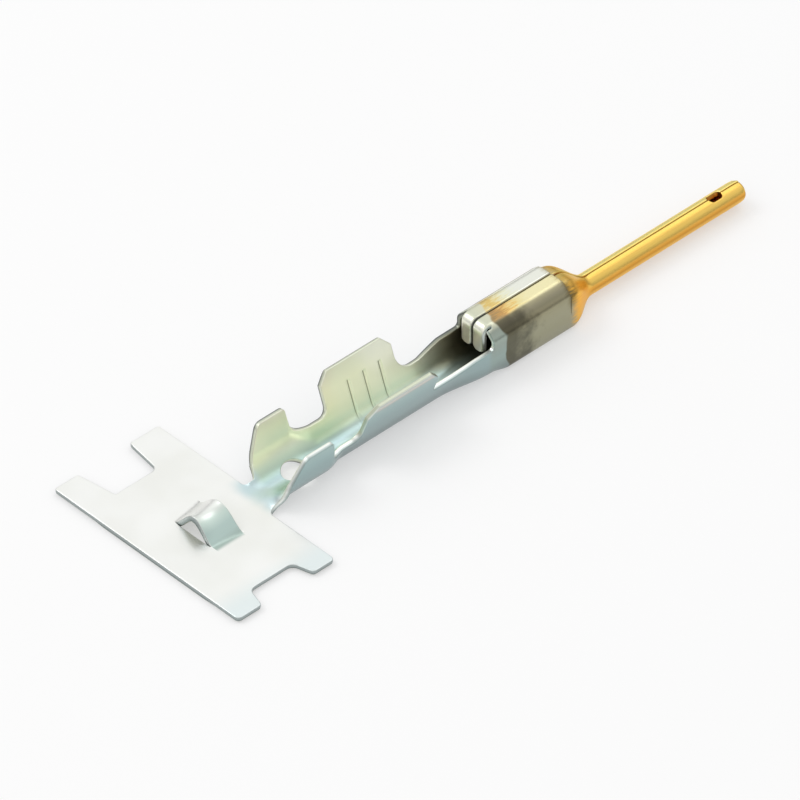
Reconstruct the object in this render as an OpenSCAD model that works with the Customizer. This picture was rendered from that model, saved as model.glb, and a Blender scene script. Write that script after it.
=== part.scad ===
// Male crimp terminal with a round contact pin, stamped and rolled from one strip,
// with its piece of carrier strip still attached.
// The origin is the middle of the locking box's underside, on the terminal's centre plane.
// +X runs along the contact pin towards its tip, +Z is up, and all sizes are in millimetres.

/* [Sheet] */
// Thickness of the strip that the whole terminal is stamped from
sheet_t = 0.25; // [0.2:0.01:0.3]

/* [Contact pin] */
// Outer diameter of the rolled pin
pin_d = 1.0; // [0.8:0.05:1.2]
// Length of the round pin from the funnel to its tip
pin_l = 9.05; // [6:0.05:12]
// Height of the pin's axis above the box's underside
pin_axis_z = 0.65; // [0.6:0.05:0.9]
// Radius of the rounded rim at the tip
pin_tip_r = 0.2; // [0.1:0.02:0.24]
// Gap of the butt seam along the pin's top
pin_seam = 0.05; // [0.03:0.01:0.1]
// Length of the oval hole on the seam
pin_hole_l = 0.72; // [0.5:0.02:1]
// Width of the oval hole
pin_hole_w = 0.36; // [0.2:0.02:0.45]
// Distance from the tip to the middle of the hole
pin_hole_setback = 1.53; // [1:0.01:3]

/* [Funnel] */
// Length over which the box narrows to the pin
funnel_l = 1.8; // [1.2:0.1:2.6]
// Drop of the funnel's top below the box's top
funnel_dip = 0.2; // [0.05:0.01:0.22]

/* [Locking box] */
// Length of the box from its rear edge to the funnel
box_l = 4.55; // [3.8:0.05:6]
// Width over the side walls
box_w = 2.4; // [2.2:0.05:2.6]
// Height from the underside to the top
box_h = 2.44; // [2.3:0.02:2.8]
// Width and height of its two slanted upper edges
box_slant = 0.53; // [0.4:0.01:0.6]
// Outer radius where a slanted edge meets the top and the side
box_slant_r = 0.45; // [0.36:0.01:0.5]
// Outer radius of the two lower edges
box_floor_r = 0.32; // [0.3:0.01:0.4]
// Length over which the two lower edges grow sharp behind the box's middle
box_heel_l = 0.9; // [0.6:0.05:1.4]
// Gap between the two halves of the top
box_seam = 0.12; // [0.06:0.02:0.2]
// Width of the relief slit that parts the box from the funnel
slit_w = 0.12; // [0.08:0.02:0.2]
// Height at which the slit runs out on the side walls
slit_foot_z = 0.95; // [0.7:0.05:1.3]

/* [Rear flaps] */
// Width of each of the two flaps that close the box's rear
flap_w = 0.6; // [0.4:0.05:0.65]
// Reach of a flap's tip below the top
flap_drop = 1.4; // [1:0.05:1.8]
// Outer radius of a flap's bend
flap_bend_r = 0.36; // [0.32:0.02:0.5]
// Chamfer on the two corners of a flap's tip
flap_chamfer = 0.18; // [0.08:0.02:0.25]
// Distance from the box's rear edge to the middle of a flap's bend
flap_setback = 0.16; // [0.1:0.02:0.3]
// Distance from the box's rear edge on the -Y side to the one on the +Y side
far_setback = 0.1; // [0.04:0.02:0.3]

/* [Throat] */
// Length of the open throat from the conductor wings to the box
throat_l = 3.5; // [3.3:0.05:5]
// Height of the throat's walls beside the box
throat_z = 1.5; // [1.35:0.05:1.7]
// Length of the conductor floor that goes on in front of its wings
throat_lead = 0.65; // [0.5:0.05:1]
// Length of the ramp between the low and the high part of the walls
throat_ramp_l = 1.25; // [0.8:0.05:1.3]
// Length of the high part of the walls
throat_high_l = 1.1; // [0.9:0.05:1.3]
// Drop from the high to the low part of the wall on the -Y side, less deep than on the other
throat_near_drop = 0.08; // [0.04:0.02:0.3]
// Radius where the wall on the -Y side meets the conductor wing's front edge
throat_near_r = 0.14; // [0.1:0.02:0.3]
// Drop from the high part of the wall on the -Y side to the one on the +Y side
throat_far_drop = 0.11; // [0.02:0.01:0.2]
// Radius where the wall on the +Y side meets the conductor wing's front edge
throat_far_r = 0.7; // [0.3:0.05:0.8]
// Outer radius of the throat's lower edges where it meets the box
throat_floor_r = 0.7; // [0.5:0.05:0.8]
// Radius where the walls rise to the box's rear edge
throat_fillet = 0.18; // [0.1:0.02:0.25]

/* [Conductor barrel] */
// Length of the conductor wings
conductor_l = 3.95; // [3:0.05:5]
// Inner radius of the barrel's floor
conductor_r = 0.74; // [0.65:0.01:0.8]
// Lean of the wings out of the vertical, in degrees
conductor_lean = 20; // [14:1:24]
// Height of the wings' tops
conductor_h = 2.83; // [2.4:0.01:3.2]
// Chamfer on the wings' corners
conductor_chamfer = 0.48; // [0.3:0.02:0.7]
// Radius at the ends of the chamfers
conductor_corner_r = 0.1; // [0.05:0.01:0.15]
// Number of serration grooves across the inside
serration_n = 3; // [2:1:4]
// Distance from one groove to the next
serration_pitch = 0.87; // [0.6:0.01:0.9]
// Width of a groove
serration_w = 0.26; // [0.15:0.01:0.35]
// Depth of a groove
serration_depth = 0.05; // [0.03:0.01:0.08]
// Height at which the grooves end on the wings
serration_top_z = 2.0; // [1.6:0.05:2.2]
// Distance from the wings' middle to the middle groove, towards the pin
serration_shift = 0.27; // [0:0.01:0.4]

/* [Waist] */
// Length of the low waist between the two pairs of wings
waist_l = 1.85; // [1.5:0.05:2.5]
// Height of the walls at the low places beside the wings
waist_z = 1.12; // [1:0.02:1.3]
// Radius at the foot of the wings' edges
wing_foot_r = 0.4; // [0.2:0.05:0.45]
// Length of the joggle that narrows the floor
joggle_l = 1.1; // [0.8:0.05:1.4]
// Start of the joggle behind the insulation wings' front edges
joggle_lead = 0.15; // [0.05:0.05:0.3]

/* [Insulation barrel] */
// Length of the insulation wing at its foot on the +Y side
insulation_l = 2.35; // [2:0.05:3.5]
// Inner radius of the barrel's floor
insulation_r = 1.2; // [1:0.05:1.35]
// Lean of the wings out of the vertical, in degrees
insulation_lean = 9; // [4:1:14]
// Height of the wings' tops
insulation_h = 2.33; // [2:0.01:2.6]
// Forward slope of the wing's rear edge from foot to top on the +Y side
insulation_rake = 0.76; // [0.5:0.02:0.9]
// Radius of the wings' upper rear corners
insulation_rear_r = 0.4; // [0.2:0.05:0.5]
// Radius of the wings' upper front corners
insulation_front_r = 0.2; // [0.1:0.02:0.3]
// Diameter of the hole in the barrel's floor
floor_hole_d = 1.3; // [0.8:0.05:1.4]
// Distance from the hole's middle to the wings' front edges
floor_hole_setback = 0.75; // [0.72:0.01:1]

/* [Carrier strip] */
// Length of the strip's piece along the terminal on the +Y side
carrier_l = 5.73; // [5.4:0.01:8]
// Reach of its cut end on the +Y side of the centre plane
carrier_far = 5.95; // [5:0.05:7]
// Reach of its cut end on the -Y side of the centre plane
carrier_near = 5.0; // [4.6:0.05:7]
// Distance between the bottoms of its two notches
web_w = 8.0; // [7:0.1:8.5]
// Length of the rear arms at their tips
rear_arm_l = 1.3; // [1:0.05:1.6]
// Length of the front arms at their tips
front_arm_l = 1.6; // [1.2:0.05:1.9]
// Narrowing of a notch from its mouth to its bottom, on each side
notch_draft = 0.28; // [0:0.02:0.4]
// Radius in the notches' inner corners
notch_r = 0.35; // [0.1:0.05:0.45]
// Radius of the arms' outer corners on the +Y side
arm_far_r = 0.14; // [0.05:0.01:0.3]
// Radius of the arms' outer corners on the -Y side
arm_near_r = 0.22; // [0.05:0.01:0.3]
// Length of the neck between the strip and the insulation wings
neck_l = 0.52; // [0.45:0.01:1]
// Reach of the neck from the centre plane on the -Y side
neck_near = 1.08; // [0.8:0.02:1.1]
// Reach of the neck from the centre plane on the +Y side
neck_far = 0.76; // [0.7:0.02:1.1]
// Radius where the neck meets the strip
neck_r = 0.2; // [0.1:0.01:0.22]
// Setback of the slot beside the neck on the -Y side from the one on the +Y side
slot_shift = 0.42; // [0:0.01:0.5]

/* [Lance] */
// Distance from the strip's rear edge to the lance's open end
lance_setback = 2.17; // [1.8:0.01:3]
// Length of the raised bridge
lance_l = 1.55; // [1:0.05:2]
// Width of the bridge at its open rear end
lance_rear_w = 2.3; // [1.8:0.05:3]
// Width of the bridge at its front end
lance_front_w = 2.9; // [2.4:0.05:3.6]
// Rise of the bridge's ends above the strip
lance_rise = 0.9; // [0.6:0.05:1.2]
// Sag of the bridge's middle below its ends
lance_sag = 0.15; // [0:0.01:0.25]

/* [Hidden] */
$fn = 72;
// Overlap of stretches that are fused, and the inset of a formed stretch inside its neighbour's skin
lap = 0.12;
skin = 0.012;
// Half of the narrow flat left in the middle of a formed floor
floor_flat = 0.01;
// Steps along a formed stretch, along one bend, up one wall, and along one rounded corner
stretch_steps = 7;
bend_steps = 7;
wall_steps = 2;
corner_steps = 6;
// Steps from foot to foot across the lance's bridge
lance_steps = 22;
// Steps along the neck and along the rounding of a slanted edge
neck_steps = 10;
slant_steps = 3;
// Depth of a cutter past the part on every side
past = 1;
// Places along X, worked out from the box to both ends
box_rear_x = -box_l / 2;
box_front_x = box_l / 2;
pin_root_x = box_front_x + funnel_l;
tip_x = pin_root_x + pin_l;
conductor_front_x = box_rear_x - throat_l;
conductor_rear_x = conductor_front_x - conductor_l;
insulation_front_x = conductor_rear_x - waist_l;
insulation_rear_x = insulation_front_x - insulation_l;
carrier_front_x = insulation_rear_x - neck_l;
carrier_rear_x = carrier_front_x - carrier_l;
throat_rear_x = conductor_front_x + throat_lead;
joggle_rear_x = insulation_front_x - joggle_lead;
joggle_front_x = joggle_rear_x + joggle_l;
// Length over which the flat strip is rolled up, and its share behind the foot of the +Y wing
roll_l = 0.95;
roll_share = 0.9;
neck_rear_x = insulation_rear_x - roll_share * roll_l;
neck_front_x = neck_rear_x + roll_l;
lance_rear_x = carrier_rear_x + lance_setback;
// Neutral radii of the bends, at the middle of the sheet
conductor_mid_r = conductor_r + sheet_t / 2;
insulation_mid_r = insulation_r + sheet_t / 2;
box_mid_r = box_floor_r - sheet_t / 2;
box_mid_flat = box_w / 2 - box_floor_r;
throat_far_z = throat_z - throat_far_drop;
throat_mid_r = throat_floor_r - sheet_t / 2;
throat_mid_flat = box_w / 2 - throat_floor_r;
heel_front_x = box_rear_x + box_heel_l;
// Height up to which the box's lower edges are formed behind the heel
heel_z = (throat_floor_r + throat_z) / 2;
// Height of the wings' rear edges at their foot, and the reach of the rounding there
wing_root_z = 0.42;
wing_root_blend = 0.14;
// Radius that stands for a flat sheet at the start of the neck
flat_r = 200;

function unit(v) = v / norm(v);
function mix(a, b, f) = a + (b - a) * f;
function ease(f) = f * f * (3 - 2 * f);

// One corner of an outline: the arc of radius r that rounds the corner p between a and b
function corner(a, p, b, r, steps = corner_steps) =
    r <= 0 ? [p] :
    let (
        u = unit(a - p),
        v = unit(b - p),
        half = acos(u * v) / 2,
        middle = p + unit(u + v) * r / sin(half),
        first = p + u * r / tan(half) - middle,
        last = p + v * r / tan(half) - middle,
        start = atan2(first.y, first.x),
        turn = atan2(cross(first, last), first * last)
    )
    [for (i = [0:steps]) let (angle = start + turn * i / steps) middle + r * [cos(angle), sin(angle)]];

// Outline through corners given as [x, y, radius]
function rounded(corners) =
    let (n = len(corners), at = [for (c = corners) [c.x, c.y]])
    [for (i = [0:n - 1]) each corner(at[(i + n - 1) % n], at[i], at[(i + 1) % n], corners[i].z)];

// Point of a bent sheet at the developed distance s from the centre plane, out from its neutral line:
// a flat floor, a bend of radius r, and a wall that leans out of the vertical
function bent(s, flat, r, lean, out) =
    let (
        sweep = 90 - lean,
        bend_l = r * sweep * PI / 180,
        turn = s <= flat ? 0 : min((s - flat) / r * 180 / PI, sweep),
        wall_l = max(0, s - flat - bend_l)
    )
    [
        min(s, flat) + (r + out) * sin(turn) + wall_l * cos(sweep),
        sheet_t / 2 + r - (r + out) * cos(turn) + wall_l * sin(sweep)
    ];

// Developed half width at which a bent sheet reaches the height z
function reach(z, r, lean, flat) =
    flat + r * (90 - lean) * PI / 180 + (z - sheet_t / 2 - r * (1 - sin(lean))) / cos(lean);

// Developed distances at which half a formed sheet is drawn, from the floor's flat to the edge
function shares(flat, r, lean, half) =
    let (knee = min(flat + r * (90 - lean) * PI / 180, mix(flat, half, 0.8)))
    concat(
        [for (i = [0:bend_steps]) mix(flat, knee, i / bend_steps)],
        [for (i = [1:wall_steps]) mix(knee, half, i / wall_steps)]
    );

// Path run backwards along one half on the -Y side and then along another on the +Y side, at the place x
function both_sides(x, near, far) =
    let (n = len(near))
    concat(
        [for (i = [n - 1:-1:0]) [x, -near[i].x, near[i].y]],
        [for (p = far) [x, p.x, p.y]]
    );

// Closed ring of an outer path and an inner path that runs back
function ring(outer, inner) =
    let (n = len(inner))
    concat(outer, [for (i = [n - 1:-1:0]) inner[i]]);

// Ring of one section of a formed stretch, given as [x, flat, r, lean, half width at -Y, half width at +Y]
function trough_ring(section) =
    let (
        flat = section[1],
        r = section[2],
        lean = section[3],
        out = sheet_t / 2 - skin,
        half = function (width, side) [for (s = shares(flat, r, lean, width)) bent(s, flat, r, lean, side)],
        path = function (side) both_sides(section[0], half(section[4], side), half(section[5], side))
    )
    ring(path(out), path(-out));

// Solid through rings of equal count, each an outer path and an inner path that runs back
module loft(rings) {
    n = len(rings[0]);
    last = (len(rings) - 1) * n;
    sides = [
        for (i = [0:len(rings) - 2], j = [0:n - 1])
            let (a = i * n + j, b = i * n + (j + 1) % n)
            each [[b, a, a + n], [b + n, b, a + n]]
    ];
    caps = [
        for (j = [0:n / 2 - 2])
            let (a = j, b = j + 1, c = n - 2 - j, d = n - 1 - j)
            each [[a, b, d], [b, c, d], [last + b, last + a, last + d], [last + c, last + b, last + d]]
    ];
    polyhedron([for (one = rings) each one], concat(sides, caps));
}

// Section carried to another place along X
function moved(section, x) = concat([x], [for (k = [1:5]) section[k]]);

// Formed stretch through sections, carried on by one lap at each end
module trough(sections) {
    last = len(sections) - 1;
    first_one = moved(sections[0], sections[0][0] - lap);
    last_one = moved(sections[last], sections[last][0] + lap);
    loft([for (section = concat([first_one], sections, [last_one])) trough_ring(section)]);
}

// Sections from one end up to the next, with every size eased on the way
function between(rear, front) =
    [for (i = [0:stretch_steps - 1]) let (f = i / stretch_steps)
        concat([mix(rear[0], front[0], f)], [for (k = [1:5]) mix(rear[k], front[k], ease(f))])];

// Extrusion along +X of an outline in the Y-Z plane
module along_x(from, to) {
    translate([from, 0, 0])
        rotate([90, 0, 90])
            linear_extrude(to - from)
                children();
}

// Extrusion across Y, the same on both sides, of an outline in the X-Z plane
module across_y(width) {
    rotate([90, 0, 0])
        linear_extrude(width, center = true)
            children();
}

// Filled section of an open barrel: a round floor of radius r about its axis, and walls that lean out
module barrel_fill(r, axis_z, lean, top_z) {
    foot = [r * cos(lean), axis_z - r * sin(lean)];
    top_y = foot.x + (top_z - foot.y) * tan(lean);
    intersection() {
        translate([0, axis_z])
            circle(r);
        translate([-2 * r, foot.y - 2 * r])
            square([4 * r, 2 * r]);
    }
    polygon([[-foot.x, foot.y], foot, [top_y, top_z], [-top_y, top_z]]);
}

// Straight stretch of an open barrel with its walls up to top_z
module barrel(from, to, r, lean, top_z) {
    axis_z = sheet_t + r;
    along_x(from, to)
        difference() {
            barrel_fill(r + sheet_t, axis_z, lean, top_z);
            barrel_fill(r, axis_z, lean, top_z + past);
        }
}

// Side outline of the wings, the waist and the throat, with the wing's rear foot set back, the place where the
// throat's wall rises to the box, the heights of this wall's low and high parts and the radius at its rear end
module wing_outline(setback, rise_x, low_z, high_z, low_r) {
    root_x = insulation_rear_x - setback;
    ramp_x = box_rear_x - throat_high_l - throat_ramp_l;
    polygon(rounded([
        [root_x, -past, 0],
        [root_x, wing_root_z, 0],
        [insulation_rear_x + insulation_rake, insulation_h, insulation_rear_r],
        [insulation_front_x - insulation_front_r / 2, insulation_h, insulation_front_r],
        [insulation_front_x + insulation_front_r / 2, waist_z, wing_foot_r],
        [conductor_rear_x, waist_z, wing_foot_r],
        [conductor_rear_x, conductor_h - conductor_chamfer, conductor_corner_r],
        [conductor_rear_x + conductor_chamfer, conductor_h, conductor_corner_r],
        [conductor_front_x - conductor_chamfer, conductor_h, conductor_corner_r],
        [conductor_front_x, conductor_h - conductor_chamfer, conductor_corner_r],
        [conductor_front_x, low_z, low_r],
        [ramp_x, low_z, wing_foot_r],
        [ramp_x + throat_ramp_l, high_z, wing_foot_r],
        [rise_x, high_z, throat_fillet],
        [rise_x, box_h, 0],
        [heel_front_x + 2 * lap, box_h, 0],
        [heel_front_x + 2 * lap, -past, 0]
    ]));
}

// Developed half width of the neck at the place x: the slot's end, and the wing's rear edge that rises from it
function neck_half(x, slot_y, setback) =
    let (
        root_x = insulation_rear_x - setback,
        top_x = insulation_rear_x + insulation_rake,
        edge_z = mix(wing_root_z, insulation_h, (neck_front_x - root_x) / (top_x - root_x)),
        edge_s = reach(edge_z, insulation_mid_r, insulation_lean, 0),
        slope = (edge_s - slot_y) / (neck_front_x - root_x),
        run = x - root_x
    )
    run <= -wing_root_blend ? slot_y :
    run < wing_root_blend ? slot_y + slope * pow(run + wing_root_blend, 2) / (4 * wing_root_blend) :
    slot_y + slope * run;

// Neck: the flat strip is rolled into the insulation barrel's floor while the wings' rear edges rise
module neck() {
    trough([
        for (i = [0:neck_steps])
            let (
                f = i / neck_steps,
                x = mix(neck_rear_x, neck_front_x, f),
                r = 1 / mix(1 / flat_r, 1 / insulation_mid_r, ease(f)) - floor_flat
            )
            [x, floor_flat, r, insulation_lean, neck_half(x, neck_near, slot_shift), neck_half(x, neck_far, 0)]
    ]);
}

// Serration grooves across the conductor barrel's floor and walls
module serrations() {
    middle_x = (conductor_rear_x + conductor_front_x) / 2 + serration_shift;
    axis_z = sheet_t + conductor_r;
    for (i = [0:serration_n - 1]) {
        groove_x = middle_x + (i - (serration_n - 1) / 2) * serration_pitch;
        along_x(groove_x - serration_w / 2, groove_x + serration_w / 2)
            barrel_fill(conductor_r + serration_depth, axis_z, conductor_lean, serration_top_z);
    }
}

// Insulation barrel, joggle, conductor barrel and throat, before they are cut to outline
module rolled_sheet() {
    wing_s = reach(insulation_h, insulation_mid_r, insulation_lean, floor_flat);
    throat_s = reach(throat_z, conductor_mid_r, conductor_lean, floor_flat);
    meet_s = reach(box_h - box_slant, throat_mid_r, 0, throat_mid_flat);
    heel_s = reach(heel_z, box_mid_r, 0, box_mid_flat);
    wide = [joggle_rear_x, floor_flat, insulation_mid_r - floor_flat, insulation_lean, wing_s, wing_s];
    narrow = [joggle_front_x, floor_flat, conductor_mid_r - floor_flat, conductor_lean, wing_s, wing_s];
    open = [throat_rear_x, floor_flat, conductor_mid_r - floor_flat, conductor_lean, throat_s, throat_s];
    meet = [box_rear_x, throat_mid_flat, throat_mid_r, 0, meet_s, meet_s];
    heel = [heel_front_x, box_mid_flat, box_mid_r, 0, heel_s, heel_s];
    barrel(neck_front_x, joggle_rear_x, insulation_r, insulation_lean, insulation_h + past);
    trough(concat(between(wide, narrow), [narrow]));
    barrel(joggle_front_x, throat_rear_x, conductor_r, conductor_lean, conductor_h + past);
    trough(concat(between(open, meet), between(meet, heel), [heel]));
}

// The rolled sheet cut to the side outline of the wings, with its grooves and its hole
module barrels() {
    difference() {
        intersection() {
            rolled_sheet();
            union() {
                rotate([90, 0, 0])
                    linear_extrude(2 * box_w)
                        wing_outline(slot_shift, box_rear_x, throat_z - throat_near_drop, throat_z, throat_near_r);
                mirror([0, 1, 0])
                    rotate([90, 0, 0])
                        linear_extrude(2 * box_w)
                            wing_outline(0, box_rear_x + far_setback, waist_z, throat_far_z, throat_far_r);
            }
        }
        serrations();
        translate([insulation_front_x - floor_hole_setback, 0, -past])
            cylinder(d = floor_hole_d, h = past + insulation_r);
    }
}

// Half of the box's section from its floor to the seam on its top, drawn in from its skin
function box_half(inset) =
    let (
        y = box_w / 2 - inset,
        high = box_h - inset,
        slant = box_slant - inset * (2 - sqrt(2)),
        low = [y, inset],
        side = [y, high - slant],
        top = [y - slant, high]
    )
    concat(
        corner([0, inset], low, side, box_floor_r - inset),
        corner(low, side, top, box_slant_r - inset, slant_steps),
        corner(side, top, [0, high], box_slant_r - inset, slant_steps),
        [[box_seam / 2, high]]
    );

// Section of the box as a closed outline of its sheet
module box_section() {
    outer = box_half(0);
    inner = box_half(sheet_t);
    polygon([for (p = ring(both_sides(0, outer, outer), both_sides(0, inner, inner))) [p.y, p.z]]);
}

// Locking box: a rolled tube with its seam on top and a relief slit towards the funnel
module box() {
    slit_x = box_front_x - lap - slit_w;
    mouth_z = box_h - box_slant;
    difference() {
        along_x(box_rear_x, box_front_x)
            box_section();
        across_y(2 * box_w)
            polygon([
                [slit_x + slit_w, slit_foot_z],
                [slit_x + slit_w + past, mouth_z],
                [slit_x + slit_w + past, box_h + past],
                [slit_x, box_h + past],
                [slit_x, mix(slit_foot_z, mouth_z, 0.5)]
            ]);
        across_y(2 * box_w)
            translate([box_rear_x - past, -past])
                square([past + box_heel_l, past + heel_z - lap]);
        translate([box_rear_x - past, -box_seam / 2 - flap_w, box_h - 2 * sheet_t])
            cube([past + flap_setback, box_seam + 2 * flap_w, past]);
        translate([box_rear_x - past, box_seam / 2 + flap_w, throat_far_z])
            cube([past + far_setback, box_w, box_h]);
    }
}

// One rear flap on the +Y side: the top is bent down behind the box
module flap() {
    bend_x = box_rear_x + flap_setback;
    inner_r = flap_bend_r - sheet_t;
    flap_y = box_seam / 2;
    intersection() {
        translate([0, flap_y + flap_w, 0])
            rotate([90, 0, 0])
                linear_extrude(flap_w) {
                    difference() {
                        translate([bend_x, box_h - flap_bend_r])
                            circle(flap_bend_r);
                        translate([bend_x, box_h - flap_bend_r])
                            circle(inner_r);
                        translate([bend_x, box_h - 3 * flap_bend_r])
                            square(4 * flap_bend_r);
                        translate([bend_x - 2 * flap_bend_r, box_h - 3 * flap_bend_r])
                            square([4 * flap_bend_r, 2 * flap_bend_r]);
                    }
                    translate([bend_x - flap_bend_r, box_h - flap_drop])
                        square([sheet_t, flap_drop - flap_bend_r]);
                    translate([bend_x, box_h - sheet_t])
                        square([lap, sheet_t]);
                }
        along_x(bend_x - 2 * flap_bend_r, bend_x + 2 * lap)
            polygon([
                [flap_y, box_h - flap_drop + flap_chamfer],
                [flap_y + flap_chamfer, box_h - flap_drop],
                [flap_y + flap_w - flap_chamfer, box_h - flap_drop],
                [flap_y + flap_w, box_h - flap_drop + flap_chamfer],
                [flap_y + flap_w, box_h + past],
                [flap_y, box_h + past]
            ]);
    }
}

// Half of the pin's section in the same number of points as the box's, drawn in from its skin
function pin_half(inset, count) =
    let (
        r = pin_d / 2 - inset,
        first = asin(floor_flat / r),
        last = 180 - asin(pin_seam / 2 / r)
    )
    [
        for (i = [0:count - 1])
            let (angle = mix(first, last, i / (count - 1)))
            [r * sin(angle), pin_axis_z - r * cos(angle)]
    ];

// Ring of the funnel at the place x, with the share f of the way from the box's section to the pin's
function funnel_ring(x, f) =
    let (
        dip = function (p) [p.x, p.y - funnel_dip * ease(max(0, (p.y - slit_foot_z) / (box_h - slit_foot_z)))],
        half = function (inset) let (wide = box_half(inset), round = pin_half(inset, len(wide))) [
            for (i = [0:len(wide) - 1]) mix(dip(wide[i]), round[i], ease(f))
        ],
        path = function (inset) both_sides(x, half(inset), half(inset))
    )
    ring(path(skin), path(sheet_t - skin));

// Funnel: the box's tube narrows to the pin's, low down and with its seam on top
module funnel() {
    loft(concat(
        [funnel_ring(box_front_x - lap, 0)],
        [for (i = [0:stretch_steps])
            funnel_ring(mix(box_front_x, pin_root_x, i / stretch_steps), i / stretch_steps)],
        [funnel_ring(pin_root_x + lap, 1)]
    ));
}

// Rolled contact pin: a tube with a rounded rim at its tip
module pin_tube() {
    pin_r = pin_d / 2;
    translate([pin_root_x, 0, pin_axis_z])
        rotate([0, 90, 0])
            rotate_extrude()
                difference() {
                    union() {
                        square([pin_r, pin_l - pin_tip_r]);
                        square([pin_r - pin_tip_r, pin_l]);
                        translate([pin_r - pin_tip_r, pin_l - pin_tip_r])
                            intersection() {
                                circle(pin_tip_r, $fn = 24);
                                square(pin_tip_r);
                            }
                    }
                    square([pin_r - sheet_t, pin_l]);
                }
}

// Funnel and pin with the butt seam and the oval hole on it
module nose() {
    hole_x = tip_x - pin_hole_setback;
    half_run = (pin_hole_l - pin_hole_w) / 2;
    difference() {
        union() {
            funnel();
            pin_tube();
        }
        translate([pin_root_x - lap, -pin_seam / 2, pin_axis_z])
            cube([pin_l + 2 * lap, pin_seam, pin_d]);
        for (side = [-1, 1])
            translate([hole_x + side * half_run, 0, pin_axis_z])
                cylinder(d = pin_hole_w, h = pin_d);
        translate([hole_x - half_run, -pin_hole_w / 2, pin_axis_z])
            cube([2 * half_run, pin_hole_w, pin_d]);
    }
}

// Plan outline of the carrier strip's piece with its notches and the start of the neck
module carrier_outline() {
    notch_y = web_w / 2;
    near_front_x = carrier_front_x - slot_shift;
    rear_tip_x = carrier_rear_x + rear_arm_l;
    front_tip_x = carrier_front_x - front_arm_l;
    rear_in_x = rear_tip_x + notch_draft;
    front_in_x = front_tip_x - notch_draft;
    stub_y = neck_far - neck_r;
    polygon(rounded([
        [carrier_rear_x, -carrier_near, arm_near_r],
        [rear_tip_x, -carrier_near, arm_near_r],
        [rear_in_x, -notch_y, notch_r],
        [front_in_x, -notch_y, notch_r],
        [front_tip_x, -carrier_near, arm_near_r],
        [near_front_x, -carrier_near, arm_near_r],
        [near_front_x, -neck_near, neck_r],
        [near_front_x + neck_r, -neck_near, 0],
        [near_front_x + neck_r, stub_y, 0],
        [carrier_front_x + neck_r, stub_y, 0],
        [carrier_front_x + neck_r, neck_far, 0],
        [carrier_front_x, neck_far, neck_r],
        [carrier_front_x, carrier_far, arm_far_r],
        [front_tip_x, carrier_far, arm_far_r],
        [front_in_x, notch_y, notch_r],
        [rear_in_x, notch_y, 0],
        [rear_tip_x, carrier_far, arm_far_r],
        [carrier_rear_x, carrier_far, arm_far_r]
    ]));
}

// Ring of the lance's bridge: a bell-shaped arch whose feet run into the strip
function lance_ring(x, width, rise) =
    let (
        half = width / 2,
        foot_y = half + lap,
        thin = sheet_t / 2 - skin,
        path = function (side) concat(
            [[x, -foot_y, sheet_t / 2 + side * thin]],
            [
                for (i = [0:lance_steps])
                    let (
                        y = half * (2 * i / lance_steps - 1),
                        lift = rise * (1 + cos(180 * y / half)) / 2,
                        lean = atan(-rise * PI / half * sin(180 * y / half) / 2),
                        out = side * sheet_t / 2
                    )
                    [x, y - out * sin(lean), sheet_t / 2 + lift + out * cos(lean)]
            ],
            [[x, foot_y, sheet_t / 2 + side * thin]]
        )
    )
    ring(path(-1), path(1));

// Lance: a bridge of the strip that is slit at both ends and pushed up, with a slight saddle
module lance() {
    loft([for (i = [0:stretch_steps]) let (f = i / stretch_steps)
        lance_ring(
            lance_rear_x + f * lance_l,
            mix(lance_rear_w, lance_front_w, f),
            lance_rise - lance_sag * (1 - pow(2 * f - 1, 2))
        )]);
}

// Carrier strip with the lance's window cut out under its bridge
module carrier_strip() {
    difference() {
        linear_extrude(sheet_t)
            carrier_outline();
        translate([0, 0, -past])
            linear_extrude(2 * past)
                polygon([
                    [lance_rear_x, -lance_rear_w / 2],
                    [lance_rear_x + lance_l, -lance_front_w / 2],
                    [lance_rear_x + lance_l, lance_front_w / 2],
                    [lance_rear_x, lance_rear_w / 2]
                ]);
    }
    lance();
}

module crimp_terminal() {
    color("gainsboro") {
        carrier_strip();
        neck();
        barrels();
        box();
        flap();
        mirror([0, 1, 0])
            flap();
    }
    color("goldenrod")
        nose();
}

crimp_terminal();
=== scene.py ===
import math
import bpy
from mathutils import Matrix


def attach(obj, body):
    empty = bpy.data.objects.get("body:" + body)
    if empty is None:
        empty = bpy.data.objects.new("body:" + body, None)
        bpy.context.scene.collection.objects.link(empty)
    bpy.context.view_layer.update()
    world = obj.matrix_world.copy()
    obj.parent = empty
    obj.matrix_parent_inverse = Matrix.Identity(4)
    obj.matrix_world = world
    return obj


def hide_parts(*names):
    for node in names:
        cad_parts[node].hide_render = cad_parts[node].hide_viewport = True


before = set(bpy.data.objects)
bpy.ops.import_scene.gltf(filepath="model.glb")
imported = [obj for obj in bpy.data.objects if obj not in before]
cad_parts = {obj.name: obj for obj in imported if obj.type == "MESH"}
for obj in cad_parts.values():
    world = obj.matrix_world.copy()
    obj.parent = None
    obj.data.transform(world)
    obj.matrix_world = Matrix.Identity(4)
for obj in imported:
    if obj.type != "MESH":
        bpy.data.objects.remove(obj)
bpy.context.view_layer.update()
from types import SimpleNamespace
import bpy
import numpy as np
from mathutils import Vector
from mathutils.geometry import delaunay_2d_cdt

# Sizes in millimetres, after the part's source
MM = 0.001
SHEET = 0.25
HALF = SHEET / 2

# Rounding of the cut edges, how many radii the skins stop short of an edge,
# and the share and length over which a slit's rims run out
RIM_R = 0.05
SEAM_RIM_R = 0.1
FLAP_RIM_R = 0.12
TIP_R = 0.19
RIM_INSET = 1.15
SLIT_RIM_END = 0.1
SLIT_RIM_FADE = 0.35

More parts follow.
